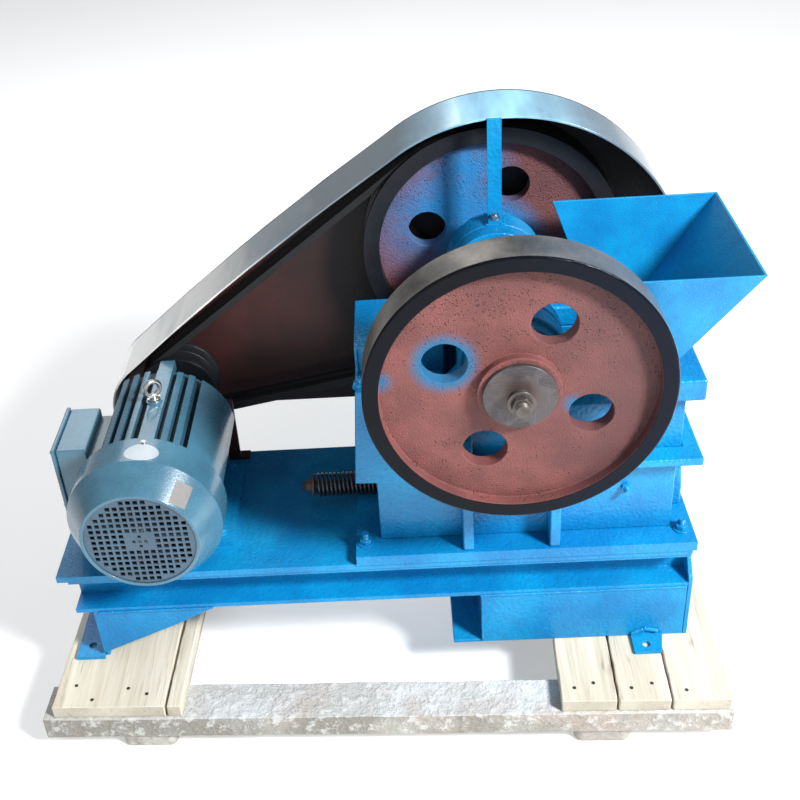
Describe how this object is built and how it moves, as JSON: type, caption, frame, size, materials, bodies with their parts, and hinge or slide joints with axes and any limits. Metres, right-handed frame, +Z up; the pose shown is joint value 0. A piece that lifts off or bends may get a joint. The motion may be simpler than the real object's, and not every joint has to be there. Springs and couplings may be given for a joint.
{
  "type": "laboratory jaw crusher",
  "caption": "Small jaw crusher with hopper, flywheel, belt pulley, open belt guard and electric motor on one steel base frame, standing on a wooden pallet.",
  "frame": {"origin": "middle of the wooden pallet on the floor, which is the middle of the bounding box", "axes": "+X from the motor towards the hopper, along the base; +Y from the flywheel towards the belt guard, along the shafts; +Z up"},
  "size_m": [0.9796, 0.5046, 0.795],
  "materials": {
    "raw_wood": "pale sawn softwood boards, dry and knotty",
    "weathered_wood": "sawn softwood gone grey, dented along its edges",
    "blue_paint": "glossy azure hammered paint over rough castings and plate, chipped at edges",
    "red_primer": "dull red-oxide primer with blue overspray",
    "painted_casting": "blue paint over a rough casting, dusty",
    "scratched_steel": "bare turned steel with fine scratches and faint rust",
    "bolt_steel": "plain bolts, partly covered with paint",
    "jaw_iron": "bare manganese steel casting",
    "rusty_steel": "rusty threaded bar",
    "spring_steel": "dark spring wire",
    "motor_paint": "satin grey-green motor enamel, slightly dusty",
    "fan_plastic": "black moulded fan",
    "pulley_iron": "dark cast iron with bright groove edges",
    "belt_rubber": "matt black rubber with worn sides"
  },
  "bodies": {
    "machine": {"pallet_left_bearer": "raw_wood", "pallet_right_bearer": "raw_wood", "pallet_left_boards": "raw_wood", "pallet_right_boards": "raw_wood", "pallet_front_runner": "weathered_wood", "pallet_back_runner": "weathered_wood", "base_plate": "blue_paint", "base_front_channel": "blue_paint", "base_back_channel": "blue_paint", "left_leg": "blue_paint", "left_gussets": "blue_paint", "support_box": "blue_paint", "support_end_plate": "blue_paint", "anchor_lugs": "blue_paint", "crusher_foot": "blue_paint", "front_wall": "blue_paint", "back_wall": "blue_paint", "end_wall": "blue_paint", "rear_wall": "blue_paint", "front_ribs": "blue_paint", "back_ribs": "blue_paint", "end_ribs": "blue_paint", "middle_shelf": "blue_paint", "top_flange": "blue_paint", "rear_cover": "blue_paint", "front_bearing": "blue_paint", "back_bearing": "blue_paint", "toggle_seat": "blue_paint", "spring_seat": "blue_paint", "hopper": "blue_paint", "guard_band": "blue_paint", "guard_strut": "blue_paint", "guard_back": "red_primer", "guard_leg": "red_primer", "swing_jaw": "painted_casting", "motor_eyebolt": "scratched_steel", "foot_bolts": "bolt_steel", "motor_foot_bolts": "bolt_steel", "fixed_jaw_plate": "jaw_iron", "swing_jaw_plate": "jaw_iron", "toggle_plate": "jaw_iron", "tension_rod": "rusty_steel", "tension_spring": "spring_steel", "motor_frame": "motor_paint", "motor_front_shield": "motor_paint", "motor_drive_shield": "motor_paint", "motor_cowl": "motor_paint", "motor_grille": "motor_paint", "motor_terminal_box": "motor_paint", "motor_terminal_lid": "motor_paint", "v_belts": "belt_rubber"},
    "crusher_shaft": {"eccentric_shaft": "scratched_steel", "flywheel": "red_primer", "flywheel_end_plate": "scratched_steel", "shaft_end_bolt": "bolt_steel", "belt_pulley": "red_primer"},
    "motor_rotor": {"motor_shaft": "scratched_steel", "motor_pulley": "pulley_iron", "motor_fan": "fan_plastic"}
  },
  "joints": [
    {"name": "crusher_spin", "type": "hinge", "parent": "machine", "child": "crusher_shaft", "pos_m": [0.1825, 0, 0.581], "axis": [0, 1, 0], "continuous": true},
    {"name": "motor_spin", "type": "hinge", "parent": "machine", "child": "motor_rotor", "pos_m": [-0.305, 0, 0.359], "axis": [0, 1, 0], "continuous": true}
  ],
  "couplings": [
    {"joint": "motor_spin", "follows": "crusher_spin", "ratio": 3.0667}
  ]
}
